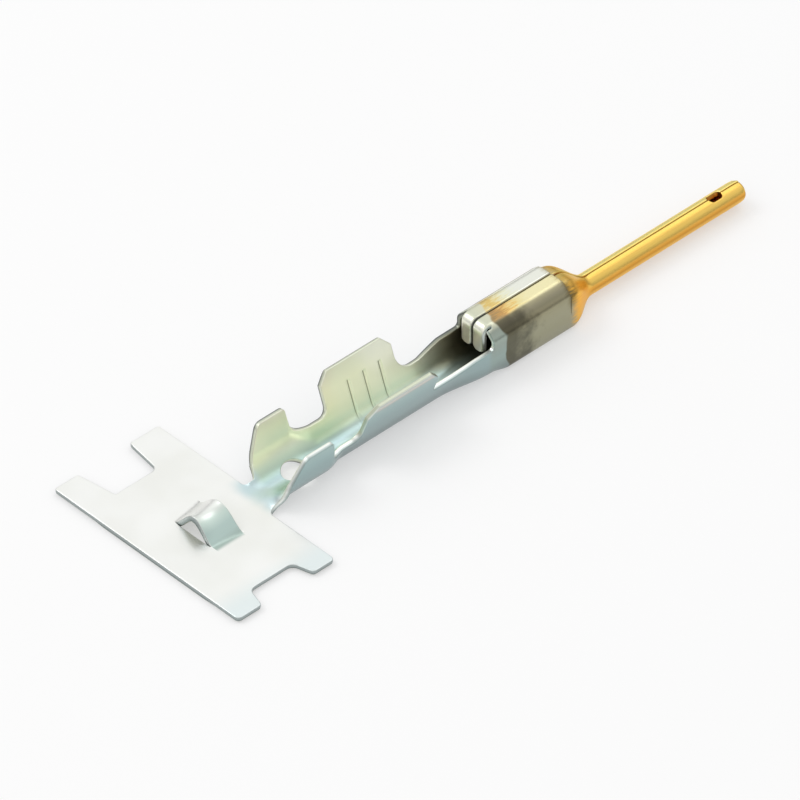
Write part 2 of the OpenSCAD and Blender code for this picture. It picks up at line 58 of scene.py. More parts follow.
# Places along X
CARRIER_REAR = -20.175
CARRIER_FRONT = -14.445
NECK_REAR = -14.78
NECK_FRONT = -13.83
INSULATION_REAR = -13.925
INSULATION_FRONT = -11.575
JOGGLE_REAR = -11.725
JOGGLE_FRONT = -10.625
CONDUCTOR_REAR = -9.725
CONDUCTOR_FRONT = -5.775
THROAT_REAR = -5.125
UPPER_REAR = THROAT_REAR + 1
BOX_REAR = -2.275
HEEL_FRONT = -1.375
THROAT_HIGH_L = 1.1
THROAT_RAMP_L = 1.25
BOX_FRONT = 2.275
PIN_ROOT = 4.075
TIP = 13.125

# Bends at the middle of the sheet, and the trace of a bend that stands for flat
FLAT_CURVE = 1e-5
INSULATION_R = 1.325
CONDUCTOR_R = 0.865
THROAT_R = 0.575
BOX_R = 0.195
INSULATION_LEAN = 9
CONDUCTOR_LEAN = 20
WALL_Y = 1.2 - HALF
BOX_H = 2.44
TOP_Z = BOX_H - HALF
SLANT = 0.53 - HALF * (2 - math.sqrt(2))
SLANT_R = 0.45 - HALF
SLANT_RUN = SLANT_R * math.tan(math.radians(22.5))
SLANT_L = SLANT * math.sqrt(2) - 2 * SLANT_RUN
SLANT_ARC = SLANT_R * math.pi / 4
SEAM_Y = 0.014
KNEE_Z = 1.1
WALL_END_Z = TOP_Z - SLANT - SLANT_RUN

# Developed distances from the centre plane to the knee, the slanted edge, the top and the seam
KNEE_S = WALL_Y - BOX_R + BOX_R * math.pi / 2 + KNEE_Z - HALF - BOX_R
WALL_END_S = KNEE_S + WALL_END_Z - KNEE_Z
TOP_S = WALL_END_S + 2 * SLANT_ARC + SLANT_L
SEAM_S = TOP_S + WALL_Y - SLANT - SLANT_RUN - SEAM_Y

# Stretch of the throat's section where it meets the box
MEET_STRETCH = (WALL_Y - THROAT_R + THROAT_R * math.pi / 2 + KNEE_Z - HALF - THROAT_R) / KNEE_S

# Funnel and pin
DIP = 0.2
SLIT_FOOT_Z = 0.95
SLIT_MID_Z = 1.43
SLIT_REAR = 2.08
SLIT_FRONT = 2.11
SLIT_END_R = 0.04
SLIT_FOOT_X = 0.01
SLIT_FOOT_S = 0.02
PIN_AXIS_Z = 0.65
PIN_MID_R = 0.5 - HALF
PIN_SEAM_Y = 0.006
PIN_LAST = math.pi - math.asin(PIN_SEAM_Y / PIN_MID_R)
PIN_HOLE_X = TIP - 1.53
PIN_HOLE_L = 0.72
PIN_HOLE_W = 0.36
TIP_TAPER = 0.05
TIP_TAPER_L = 0.5

# Rear flaps
FLAP_Y = 0.66
FLAP_BEND_X = BOX_REAR + 0.16
FLAP_BEND_R = 0.36 - HALF
FLAP_ARC = FLAP_BEND_R * math.pi / 2
FLAP_L = FLAP_ARC + 1.04
FLAP_SLOT = 0.05
FLAP_SLOT_L = 0.06
FLAP_SLOT_R = 0.05
FLAP_CLEAR = 0.1
FLAP_TIP = 0.18
FLAP_TIP_R = 0.22

# Lance
LANCE_REAR = -18.005
LANCE_L = 1.55
LANCE_SLIT = 0.03
LANCE_REAR_W = 2.3
LANCE_FRONT_W = 2.9
LANCE_RISE = 0.9
LANCE_SAG = 0.15

# Carrier strip: its arms beside the tapered notches
REAR_ARM_L = 1.3
FRONT_ARM_L = 1.6
NOTCH_S = 4.0
NOTCH_TAPER = 0.28
NOTCH_R = 0.35
SLOT_RUN = 0.02

# Where the strip stays flat beside the neck
LEVEL_S = 0.4
LEVEL_EASE = 0.6
LEVEL_END = 0.25

# Wings, waist and throat in the side view
INSULATION_H = 2.33
INSULATION_RAKE = 0.76
INSULATION_REAR_R = 0.4
INSULATION_FRONT_R = 0.2
INSULATION_TAPER = 0.1
WING_ROOT_Z = 0.42
WING_FOOT_R = 0.4
WING_FOOT_BLEND = 0.14
WAIST_Z = 1.12
CONDUCTOR_H = 2.83
CHAMFER = 0.48
CHAMFER_R = 0.1
RAMP_R = 0.4
RISE_R = 0.18
FLOOR_HOLE_R = 0.65
FLOOR_HOLE_SETBACK = 0.75

# What differs between the +Y side and the -Y side of the blank
FAR = SimpleNamespace(reach=5.95, setback=0.0, slot_y=0.76, slot_r=0.2, arm_r=0.14, notch_r=0.03,
                      low_z=1.12, high_z=1.39, low_r=0.7, rise_x=BOX_REAR + 0.1)
NEAR = SimpleNamespace(reach=5.0, setback=0.42, slot_y=1.08, slot_r=0.3, arm_r=0.22, notch_r=0.35,
                       low_z=1.42, high_z=1.5, low_r=0.14, rise_x=BOX_REAR)

# Serration grooves, and the lines of mesh points along their slopes
SERRATION_PITCH = 0.87
SERRATION_SHIFT = 0.27
SERRATION_TOP_Z = 2.0
GROOVE_DEPTH = 0.05
GROOVE_SHIFT = 0.04
GROOVE_HALF = 0.05
GROOVE_SLOPE = 0.05
GROOVE_END = 0.06
GROOVE_LINES = (-0.06, -0.035, -0.01, 0.09, 0.115, 0.14)

# Steps and limits of the mesh
SLOPE_STEP = 2e-3
NORMAL_STEP = 4e-3
SAME_POINT = 4e-3
TINY = 1e-6
MITRE_LIMIT = 0.45
CLEAR_OF_RIM = 0.055
CLOSE_ON_BLANK = 0.6
STAGGER = 0.001
BLOCK = 64
STRIP_STEP = 0.12
WING_STEP = 0.07
BOX_STEP = 0.08
PIN_STEP = 0.1

# The photograph's view: its aim, and the aim's shift in the picture plane
CAMERA_AZIMUTH = math.radians(-43.6)
CAMERA_ELEVATION = math.radians(40.5)
CAMERA_LENS = 441
CAMERA_RANGE = 400
CAMERA_AIM = (-6.175, 0.0, 1.0)
CAMERA_RIGHT = -0.247
CAMERA_UP = -0.455

# Brightest side of the sky, and the lamps: name, place in metres, size and power
SKY_SIDE = (0.1, 0.76, 0.64)
LAMP_AIM = (-0.004, 0.0, 0.001)
LAMPS = (
    ("key", (-0.12, 0.2, 0.28), 0.16, 0.2),
    ("fill", (-0.25, -0.15, 0.20), 0.2, 0.04),
    ("side", (0.183, 0.018, 0.287), 0.16, 0.07),
)

# Floor: half its side and its height in metres, its colour, and the share of plain white as it is seen
FLOOR_SIDE = 3.0
FLOOR_Z = -0.00002
FLOOR_COLOUR = (0.99, 0.99, 0.99, 1.0)
FLOOR_WHITE = 0.45

WHITE = (1.0, 1.0, 1.0, 1.0)


def mix(a, b, f):
    """From a to b by the share f."""
    return a + (b - a) * f


def ease(f):
    """Zero to one with soft ends."""
    f = np.clip(f, 0.0, 1.0)
    return f * f * (3 - 2 * f)


def bends(x):
    """Flat half floor, bend radius, lean and stretch of the sheet's section at x."""
    roll = ease((x - NECK_REAR) / (NECK_FRONT - NECK_REAR))
    joggle = ease((x - JOGGLE_REAR) / (JOGGLE_FRONT - JOGGLE_REAR))
    throat = ease((x - THROAT_REAR) / (BOX_REAR - THROAT_REAR))
    heel = ease((x - BOX_REAR) / (HEEL_FRONT - BOX_REAR))
    r = 1 / mix(FLAT_CURVE, 1 / INSULATION_R, roll)
    r = np.where(x > NECK_FRONT, mix(INSULATION_R, CONDUCTOR_R, joggle), r)
    r = mix(mix(r, THROAT_R, throat), BOX_R, heel)
    flat = mix(mix(0.0, WALL_Y - THROAT_R, throat), WALL_Y - BOX_R, heel)
    lean = mix(mix(INSULATION_LEAN, CONDUCTOR_LEAN, joggle), 0.0, throat)
    knee = WALL_Y - r + r * math.pi / 2 + KNEE_Z - HALF - r
    stretch = np.where(x > BOX_REAR, knee / KNEE_S, mix(1.0, MEET_STRETCH, throat))
    return flat, r, np.radians(lean), stretch


def bent(s, flat, r, lean):
    """Half section with a flat floor, a bend and a leaning wall."""
    sweep = math.pi / 2 - lean
    turn = np.clip((s - flat) / r, 0.0, sweep)
    wall = np.maximum(0.0, s - flat - r * sweep)
    y = np.minimum(s, flat) + r * np.sin(turn) + wall * np.cos(sweep)
    z = HALF + 2 * r * np.sin(turn / 2) ** 2 + wall * np.sin(sweep)
    return y, z


def real_s(s, stretch):
    """Distance along the section for a distance on the blank: only the part below the knee stretches."""
    return np.where(s < KNEE_S, s * stretch, KNEE_S * stretch + s - KNEE_S)


def box_top(s):
    """The box's half section from the wall's end over the slanted edge to the seam."""
    u = s - WALL_END_S
    first = np.clip(u / SLANT_R, 0, math.pi / 4)
    run = np.clip(u - SLANT_ARC, 0, SLANT_L)
    second = np.clip((u - SLANT_ARC - SLANT_L) / SLANT_R, 0, math.pi / 4) + math.pi / 4
    flat = np.maximum(u - 2 * SLANT_ARC - SLANT_L, 0)
    d = math.sqrt(0.5)
    y = WALL_Y - SLANT_R * (1 - np.cos(first)) - run * d - SLANT_R * (d - np.cos(second)) - flat
    z = WALL_END_Z + SLANT_R * np.sin(first) + run * d + SLANT_R * (np.sin(second) - d)
    return y, z


def box_half(s):
    """The box's whole half section."""
    y, z = bent(s, WALL_Y - BOX_R, BOX_R, 0.0)
    y_top, z_top = box_top(s)
    high = s > WALL_END_S
    return np.where(high, y_top, y), np.where(high, z_top, z)


def lance_lift(x, s):
    """How far the lance is pushed up out of the strip."""
    f = (x - LANCE_REAR) / LANCE_L
    half = mix(LANCE_REAR_W, LANCE_FRONT_W, f) / 2
    rise = LANCE_RISE - LANCE_SAG * (1 - (2 * f - 1) ** 2)
    lift = rise * (1 + np.cos(np.pi * np.clip(s / half, -1, 1))) / 2
    return np.where((f > 0) & (f < 1), lift, 0.0)


# Developed distance to the flaps' outer sides
TOP_RUN = np.linspace(WALL_END_S, SEAM_S, 4000)
FLAP_S = float(np.interp(-FLAP_Y, -box_top(TOP_RUN)[0], TOP_RUN))
FLAP_CUT_S = FLAP_S - FLAP_SLOT / 2


def sheet(x, q):
    """Middle of the formed sheet, for a place (x, q) of the flat blank."""
    s = np.abs(q)
    side = np.where(q < 0, -1.0, 1.0)
    flat, r, lean, stretch = bends(x)
    y, z = bent(real_s(s, stretch), flat, r, lean)
    # Beside the neck the strip stays flat
    level = ease((s - LEVEL_S) / LEVEL_EASE) * (1 - ease((x - CARRIER_FRONT) / LEVEL_END))
    level = np.where(q > 0, level, 0.0)
    y = mix(y, s, level)
    z = mix(z, HALF, level) + lance_lift(x, s)
    out_x = x.copy()
    # Upper half of the box
    y_top, z_top = box_top(s)
    high = (x > UPPER_REAR) & (s > WALL_END_S)
    y = np.where(high, y_top, y)
    z = np.where(high, z_top, z)
    # Funnel and pin
    nose = x > (SLIT_REAR + SLIT_FRONT) / 2
    y_box, z_box = box_half(s)
    z_box = z_box - DIP * ease((z_box - SLIT_FOOT_Z) / (BOX_H - SLIT_FOOT_Z))
    angle = s / SEAM_S * PIN_LAST
    f = ease((x - BOX_FRONT) / (PIN_ROOT - BOX_FRONT))
    pin_r = PIN_MID_R - TIP_TAPER * np.clip((x - TIP + TIP_TAPER_L) / TIP_TAPER_L, 0, 1) ** 2
    y = np.where(nose, mix(y_box, pin_r * np.sin(angle), f), y)
    z = np.where(nose, mix(z_box, PIN_AXIS_Z - pin_r * np.cos(angle), f), z)
    # Rear flaps, bent down behind the box
    flap = (x < FLAP_BEND_X) & (x > FLAP_BEND_X - FLAP_L - FLAP_CLEAR) & (s > FLAP_CUT_S)
    run = FLAP_BEND_X - x
    turn = np.clip(run / FLAP_BEND_R, 0, math.pi / 2)
    drop = np.maximum(run - FLAP_ARC, 0)
    out_x = np.where(flap, FLAP_BEND_X - FLAP_BEND_R * np.sin(turn), out_x)
    y = np.where(flap, y_top, y)
    z = np.where(flap, z_top - FLAP_BEND_R * (1 - np.cos(turn)) - drop, z)
    return np.stack([out_x, side * y, z], -1)


def wall_s(z, r, lean):
    """Developed distance at which a leaning wall over a round floor reaches the height z."""
    lean = math.radians(lean)
    return r * (math.pi / 2 - lean) + (z - HALF - r * (1 - math.sin(lean))) / math.cos(lean)


SERRATION_MID = (CONDUCTOR_REAR + CONDUCTOR_FRONT) / 2 + SERRATION_SHIFT
SERRATION_X = [SERRATION_MID + k * SERRATION_PITCH for k in (-1, 0, 1)]
SERRATION_S = wall_s(SERRATION_TOP_Z, CONDUCTOR_R, CONDUCTOR_LEAN)


def groove(x, q):
    """Depth of the serration grooves in the inner skin."""
    depth = np.zeros_like(x)
    for middle in SERRATION_X:
        away = np.abs(x - middle - GROOVE_SHIFT) - GROOVE_HALF
        depth = np.maximum(depth, GROOVE_DEPTH * (1 - ease(away / GROOVE_SLOPE)))
    return depth * (1 - ease((np.abs(q) - SERRATION_S + GROOVE_END / 2) / GROOVE_END))


def frame_at(x, q):
    """Point of the sheet's middle, its two derivatives and its unit normal towards the inner skin."""
    p = sheet(x, q)
    px = (sheet(x + SLOPE_STEP, q) - sheet(x - SLOPE_STEP, q)) / (2 * SLOPE_STEP)
    pq = (sheet(x, q + SLOPE_STEP) - sheet(x, q - SLOPE_STEP)) / (2 * SLOPE_STEP)
    n = np.cross(px, pq)
    n /= np.linalg.norm(n, axis=-1, keepdims=True)
    return p, px, pq, n


def skin(x, q, inner):
    """Points of the inner or the outer skin."""
    p, _, _, n = frame_at(x, q)
    height = HALF - groove(x, q) if inner else np.full_like(x, -HALF)
    return p + n * height[:, None]


def skin_normal(x, q, inner):
    """Unit normals of a skin, away from the sheet."""
    a = skin(x + NORMAL_STEP, q, inner) - skin(x - NORMAL_STEP, q, inner)
    b = skin(x, q + NORMAL_STEP, inner) - skin(x, q - NORMAL_STEP, inner)
    n = np.cross(a, b)
    n /= np.linalg.norm(n, axis=-1, keepdims=True)
    return n if inner else -n


def height_to_s(x, z):
    """Developed distance at which the section at x reaches the height z, below the box's slanted edge."""
    flat, r, lean, stretch = bends(x)
    foot_z = HALF + r * (1 - np.sin(lean))
    arc = flat + r * np.arccos(np.clip(1 - (z - HALF) / r, -1, 1))
    wall = flat + r * (math.pi / 2 - lean) + (z - foot_z) / np.cos(lean)
    s = np.where(z < foot_z, arc, wall)
    return np.where(s < KNEE_S * stretch, s / stretch, KNEE_S + s - KNEE_S * stretch)


def rounded(corners, first, last, steps_per_quarter=7):
    """Points along corners given as (x, y, radius), between two plain end points."""
    out = [np.array(first, float)]
    at = [np.array(first, float)] + [np.array(c[:2], float) for c in corners] + [np.array(last, float)]
    for i, c in enumerate(corners, 1):
        p, r = at[i], c[2]
        u = (at[i - 1] - p) / np.linalg.norm(at[i - 1] - p)
        v = (at[i + 1] - p) / np.linalg.norm(at[i + 1] - p)
        if r <= 0:
            out.append(p)
            continue
        half = math.acos(np.clip(u @ v, -1, 1)) / 2
        middle = p + (u + v) / np.linalg.norm(u + v) * r / math.sin(half)
        a = p + u * r / math.tan(half) - middle
        b = p + v * r / math.tan(half) - middle
        start = math.atan2(a[1], a[0])
        turn = math.atan2(a[0] * b[1] - a[1] * b[0], a @ b)
        n = max(2, int(round(abs(turn) / (math.pi / 2) * steps_per_quarter)))
        for k in range(n + 1):
            t = start + turn * k / n
            out.append(middle + r * np.array([math.cos(t), math.sin(t)]))
    out.append(np.array(last, float))
    return np.array(out)


def dense(points, step):
    """The same line with no stretch longer than step."""
    out = [points[0]]
    for a, b in zip(points[:-1], points[1:]):
        n = max(1, int(math.ceil(np.linalg.norm(b - a) / step)))
        out += [a + (b - a) * k / n for k in range(1, n + 1)]
    return np.array(out)


def neck_half(x, side):
    """Half width of the neck at x, and the height at which the wing's rear edge leaves it."""
    root = INSULATION_REAR - side.setback
    top = INSULATION_REAR + INSULATION_RAKE
    edge_z = mix(WING_ROOT_Z, INSULATION_H, (NECK_FRONT - root) / (top - root))
    slope = (wall_s(edge_z, INSULATION_R, INSULATION_LEAN) - side.slot_y) / (NECK_FRONT - root)
    run = x - root
    bend = side.slot_y + slope * (run + WING_FOOT_BLEND) ** 2 / (4 * WING_FOOT_BLEND)
    straight = side.slot_y + slope * run
    s = np.where(run < WING_FOOT_BLEND, bend, straight)
    return np.where(run <= -WING_FOOT_BLEND, side.slot_y, s), edge_z


def strip_line(side, front, slot_end):
    """Edge of the carrier strip, up to the slot beside the neck."""
    rear_tip = CARRIER_REAR + REAR_ARM_L
    front_tip = CARRIER_FRONT - FRONT_ARM_L
    line = rounded([
        (CARRIER_REAR, side.reach, side.arm_r),
        (rear_tip, side.reach, side.arm_r),
        (rear_tip + NOTCH_TAPER, NOTCH_S, side.notch_r),
        (front_tip - NOTCH_TAPER, NOTCH_S, NOTCH_R),
        (front_tip, side.reach, side.arm_r),
        (front, side.reach, side.arm_r),
        (front, side.slot_y, side.slot_r),
    ], (CARRIER_REAR, 0.0), (slot_end, side.slot_y))
    return dense(line, STRIP_STEP)


def wing_line(side, edge_z):
    """Edge of the wings, the waist and the throat, drawn in the side view."""
    ramp = BOX_REAR - THROAT_HIGH_L - THROAT_RAMP_L
    line = rounded([
        (INSULATION_REAR + INSULATION_RAKE, INSULATION_H, INSULATION_REAR_R),
        (INSULATION_FRONT - INSULATION_TAPER, INSULATION_H, INSULATION_FRONT_R),
        (INSULATION_FRONT + INSULATION_TAPER, WAIST_Z, WING_FOOT_R),
        (CONDUCTOR_REAR, WAIST_Z, WING_FOOT_R),
        (CONDUCTOR_REAR, CONDUCTOR_H - CHAMFER, CHAMFER_R),
        (CONDUCTOR_REAR + CHAMFER, CONDUCTOR_H, CHAMFER_R),
        (CONDUCTOR_FRONT - CHAMFER, CONDUCTOR_H, CHAMFER_R),
        (CONDUCTOR_FRONT, CONDUCTOR_H - CHAMFER, CHAMFER_R),
        (CONDUCTOR_FRONT, side.low_z, side.low_r),
        (ramp, side.low_z, RAMP_R),
        (ramp + THROAT_RAMP_L, side.high_z, RAMP_R),
        (side.rise_x, side.high_z, RISE_R),
    ], (NECK_FRONT, edge_z), (side.rise_x, WALL_END_Z))
    x, z = dense(line, WING_STEP)[1:].T
    return np.stack([x, height_to_s(x, z)], -1)


def box_line(side):
    """The box's rear edge, the slot beside the flap, the flap, and the seam with the relief slit."""
    root = max(side.rise_x, FLAP_BEND_X) + FLAP_SLOT_L
    tip = FLAP_BEND_X - FLAP_L
    slit_mid_s, slit_foot_s = height_to_s(np.zeros(2), np.array([SLIT_MID_Z, SLIT_FOOT_Z]))
    line = rounded([
        (side.rise_x, FLAP_S - FLAP_SLOT, FLAP_SLOT_R),
        (root, FLAP_S - FLAP_SLOT, 0.0),
        (root, FLAP_S, 0.0),
        (tip + FLAP_TIP, FLAP_S, FLAP_TIP_R),
        (tip, FLAP_S + FLAP_TIP, FLAP_TIP_R),
        (tip, SEAM_S - FLAP_TIP, FLAP_TIP_R),
        (tip + FLAP_TIP, SEAM_S, FLAP_TIP_R),
        (SLIT_REAR, SEAM_S, SLIT_END_R),
        (SLIT_REAR, slit_mid_s, 0.0),
        (SLIT_FRONT - SLIT_FOOT_X, slit_foot_s, 0.0),
        (SLIT_FRONT, slit_foot_s + SLIT_FOOT_S, 0.0),
        (SLIT_FRONT, SEAM_S, SLIT_END_R),
    ], (side.rise_x, WALL_END_S), (PIN_HOLE_X - PIN_HOLE_L / 2, SEAM_S))
    return dense(line, BOX_STEP)[1:]


def pin_line():
    """Half of the oval hole, the seam up to the tip, and the rim."""
    half, r = PIN_HOLE_L / 2, PIN_HOLE_W / 2
    x = PIN_HOLE_X - half * np.cos(np.linspace(0, math.pi, 33))
    past = np.maximum(np.abs(x - PIN_HOLE_X) - (half - r), 0)
    y = np.maximum(np.sqrt(np.maximum(r ** 2 - past ** 2, 0)), PIN_SEAM_Y)
    angle = math.pi - np.arcsin(y / PIN_MID_R)
    hole = np.stack([x, angle / PIN_LAST * SEAM_S], -1)
    end = np.array([(PIN_HOLE_X + half, SEAM_S), (TIP, SEAM_S), (TIP, 0.0)])
    return np.concatenate([hole[1:], dense(end, PIN_STEP)[1:]])


def half_outline(side):
    """Edge of one half of the blank from the strip's rear edge to the pin's tip, as (x, s)."""
    front = CARRIER_FRONT - side.setback
    slot_end = front + side.slot_r + SLOT_RUN
    neck_x = np.linspace(slot_end, NECK_FRONT, 26)[1:]
    neck_s, edge_z = neck_half(neck_x, side)
    return np.concatenate([
        strip_line(side, front, slot_end),
        np.stack([neck_x, neck_s], -1),
        wing_line(side, edge_z),
        box_line(side),
        pin_line(),
    ])


def clean_loop(loop):
    """The closed loop without repeated points."""
    keep = [loop[0]]
    for p in loop[1:]:
        if np.linalg.norm(p - keep[-1]) > SAME_POINT:
            keep.append(p)
    if np.linalg.norm(keep[0] - keep[-1]) < SAME_POINT:
        keep.pop()
    return np.array(keep)


def outer_loop():
    """The blank's whole edge, with the sheet on its left."""
    far = half_outline(FAR)
    near = half_outline(NEAR) * np.array([1.0, -1.0])
    return clean_loop(np.concatenate([near, far[::-1]]))


def hole_loops():
    """The hole in the insulation barrel's floor and the lance's two slits."""
    t = np.linspace(0, 2 * math.pi, 65)[:-1]
    x = INSULATION_FRONT - FLOOR_HOLE_SETBACK + FLOOR_HOLE_R * np.cos(t)
    s = INSULATION_R * np.arcsin(FLOOR_HOLE_R * np.sin(t) / INSULATION_R)
    loops = [np.stack([x, s], -1)[::-1]]
    for place, width in ((LANCE_REAR, LANCE_REAR_W), (LANCE_REAR + LANCE_L, LANCE_FRONT_W)):
        q = np.linspace(-width / 2, width / 2, int(width / WING_STEP))
        w = LANCE_SLIT / 2 * (1 - (2 * q / width) ** 2)
        rear, front = np.stack([place - w, q], -1), np.stack([place + w, q], -1)
        loops.append(clean_loop(np.concatenate([rear, front[::-1]])))
    return loops


def softened(values, passes=4):
    """Values along a closed loop, averaged with their neighbours."""
    for _ in range(passes):
        values = (np.roll(values, 1) + 2 * values + np.roll(values, -1)) / 4
    return values


def rim_sizes(loop, slit=False):
    """Radius on the inner and on the outer skin, and the inset of the skins, along a loop."""
    x, s = loop[:, 0], np.abs(loop[:, 1])
    inner = np.full(len(loop), RIM_R)
    outer = np.full(len(loop), RIM_R)
    outer[(s > FLAP_CUT_S) & (x < PIN_ROOT)] = SEAM_RIM_R
    outer[(s > FLAP_CUT_S) & (x < FLAP_BEND_X)] = FLAP_RIM_R
    outer = softened(outer)
    if slit:
        # A slit's rims run out at its ends, where the bridge meets the strip
        fade = mix(SLIT_RIM_END, 1.0, ease((s.max() - s) / SLIT_RIM_FADE))
        inner, outer = RIM_R * fade, RIM_R * fade
    outer[x > TIP - TINY] = TIP_R
    return inner, outer, np.maximum(inner, outer) * RIM_INSET


def inset_loop(loop, inset):
    """The loop drawn in on the sheet by the given distances, with mitred corners."""
    _, px, pq, normal = frame_at(loop[:, 0], loop[:, 1])
    e1 = px / np.linalg.norm(px, axis=-1, keepdims=True)
    e2 = np.cross(normal, e1)
    a = np.einsum("ij,ij->i", px, e1)
    b = np.einsum("ij,ij->i", pq, e1)
    c = np.einsum("ij,ij->i", pq, e2)
    before = loop - np.roll(loop, 1, 0)
    after = np.roll(loop, -1, 0) - loop

    def flat(v):
        w = np.stack([a * v[:, 0] + b * v[:, 1], c * v[:, 1]], -1)
        return w / np.linalg.norm(w, axis=-1, keepdims=True)

    u, v = flat(before), flat(after)
    # The sheet lies on the left of the loop
    n1 = np.stack([-u[:, 1], u[:, 0]], -1)
    n2 = np.stack([-v[:, 1], v[:, 0]], -1)
    bisector = n1 + n2
    bisector /= np.maximum(np.linalg.norm(bisector, axis=-1, keepdims=True), 1e-9)
    stretch = 1 / np.maximum(np.einsum("ij,ij->i", bisector, n1), MITRE_LIMIT)
    shift = bisector * (inset * stretch)[:, None]
    dq = shift[:, 1] / c
    dx = (shift[:, 0] - b * dq) / a
    return loop + np.stack([dx, dq], -1)


def crossing(a, b, c, d):
    """Where the stretch from a to b meets the one from c to d, or None."""
    u, v, w = b - a, d - c, c - a
    turn = u[0] * v[1] - u[1] * v[0]
    if abs(turn) < 1e-12:
        return None
    along = (w[0] * v[1] - w[1] * v[0]) / turn
    across = (w[0] * u[1] - w[1] * u[0]) / turn
    if 0 <= along <= 1 and 0 <= across <= 1:
        return a + u * along
    return None


def untangled(loop, reach=30):
    """The drawn-in loop with each small tangle at a sharp corner pulled together to one point."""
    p = loop.copy()
    n = len(p)
    for i in range(n):
        for k in range(reach, 1, -1):
            met = crossing(p[i], p[(i + 1) % n], p[(i + k) % n], p[(i + k + 1) % n])
            if met is not None:
                for m in range(1, k + 1):
                    p[(i + m) % n] = met
                break
    return p


def inside(points, loops):
    """Which points lie in the sheet, by counting crossings with all loops."""
    odd = np.zeros(len(points), bool)
    for loop in loops:
        a, b = loop, np.roll(loop, -1, 0)
        for i in range(len(a)):
            if a[i, 1] == b[i, 1]:
                continue
            cross = (points[:, 1] < a[i, 1]) != (points[:, 1] < b[i, 1])
            at = a[i, 0] + (points[:, 1] - a[i, 1]) / (b[i, 1] - a[i, 1]) * (b[i, 0] - a[i, 0])
            odd ^= cross & (points[:, 0] < at)
    return odd


def grid(x0, x1, dx, s0, s1, ds):
    """Places in rows, every other row moved by a trace so that no four lie on one circle."""
    nx = max(2, int(round((x1 - x0) / dx)))
    ns = max(2, int(round((s1 - s0) / ds)))
    x, s = np.meshgrid(np.linspace(x0, x1, nx + 1), np.linspace(s0, s1, ns + 1), indexing="ij")
    x[:, 1::2] += (x1 - x0) / nx * STAGGER
    return np.stack([x.ravel(), s.ravel()], -1)


def inner_points():
    """Places in the blank that carry the bends, closer together where the sheet is formed."""
    parts = [
        grid(CARRIER_REAR, NECK_REAR - 0.05, 0.45, -6.0, 6.0, 0.5),
        grid(LANCE_REAR - 0.06, LANCE_REAR + LANCE_L + 0.06, 0.085, -1.6, 1.6, 0.075),
        grid(NECK_REAR, JOGGLE_FRONT, 0.1, -3.1, 3.1, 0.1),
        grid(JOGGLE_FRONT + 0.1, THROAT_REAR, 0.2, -3.2, 3.2, 0.09),
        grid(THROAT_REAR + 0.1, BOX_REAR - 0.02, 0.1, -2.6, 2.6, 0.09),
        grid(SLIT_FRONT + 0.04, PIN_ROOT, 0.085, -SEAM_S, SEAM_S, 0.1),
        grid(PIN_ROOT + 0.1, TIP, 0.16, -SEAM_S, SEAM_S, 0.14),
    ]
    for sign in (-1, 1):
        for lo, hi, step in ((0.0, 0.86, 0.12), (0.88, 1.25, 0.05), (1.35, WALL_END_S - 0.05, 0.15),
                             (WALL_END_S, TOP_S, 0.05), (TOP_S + 0.07, SEAM_S, 0.1)):
            part = grid(BOX_REAR + 0.02, SLIT_REAR, 0.11, lo, hi, step)
            parts.append(part * np.array([1.0, sign]))
        flap = grid(FLAP_BEND_X - FLAP_L, FLAP_BEND_X, 0.05, FLAP_S, SEAM_S, 0.09)
        parts.append(flap * np.array([1.0, sign]))
    for middle in SERRATION_X:
        for edge in GROOVE_LINES:
            s = np.arange(-SERRATION_S - 0.1, SERRATION_S + 0.1, 0.07)
            parts.append(np.stack([np.full_like(s, middle + edge), s], -1))
    return np.concatenate(parts)


def far_from(points, loops, clear):
    """Which points keep their distance from the loops, measured on the formed sheet."""
    here = sheet(points[:, 0], points[:, 1])
    keep = np.ones(len(points), bool)
    for loop in loops:
        there = sheet(loop[:, 0], loop[:, 1])
        for i in range(0, len(there), BLOCK):
            block = there[i:i + BLOCK]
            near = np.abs(here[:, None, :] - block[None, :, :]).sum(-1)
            flat = np.abs(points[:, None, :] - loop[None, i:i + BLOCK, :]).sum(-1)
            keep &= ~((near < clear) & (flat < CLOSE_ON_BLANK)).any(1)
    return keep


def filled(insets):
    """Triangles between the drawn-in loops, and the corner at which each loop point ended up."""
    points = inner_points()
    points = points[inside(points, insets)]
    points = points[far_from(points, insets, CLEAR_OF_RIM)]
    flat = np.concatenate(insets + [points])
    edges, start = [], 0
    for loop in insets:
        after = np.roll(loop, -1, 0)
        for i in np.flatnonzero(np.any(loop != after, axis=1)):
            edges.append((start + int(i), start + (int(i) + 1) % len(loop)))
        start += len(loop)
    made = delaunay_2d_cdt([Vector(p) for p in flat], edges, [], 0, 1e-7)
    verts = np.array([tuple(v) for v in made[0]])
    faces = np.array([f for f in made[2] if len(f) == 3])
    place = {old: new for new, olds in enumerate(made[3]) for old in olds}
    faces = faces[inside(verts[faces].mean(1), insets)]
    a, b, c = (verts[faces[:, k]] for k in range(3))
    turn = (b - a)[:, 0] * (c - a)[:, 1] - (b - a)[:, 1] * (c - a)[:, 0]
    faces[turn < 0] = faces[turn < 0][:, ::-1]
    return verts, faces, place


def rim_profile(r_in, r_out):
    """From the inner to the outer skin: distance from the edge, height, and the normal's share out and up."""
    angles = np.radians([0, 30, 60, 90])
    upper = [(r_in * (1 - math.sin(t)), HALF - r_in * (1 - math.cos(t)), math.sin(t), math.cos(t))
             for t in angles]
    lower = [(r_out * (1 - math.cos(t)), -HALF + r_out * (1 - math.sin(t)), math.cos(t), -math.sin(t))
             for t in angles]
    return upper + lower


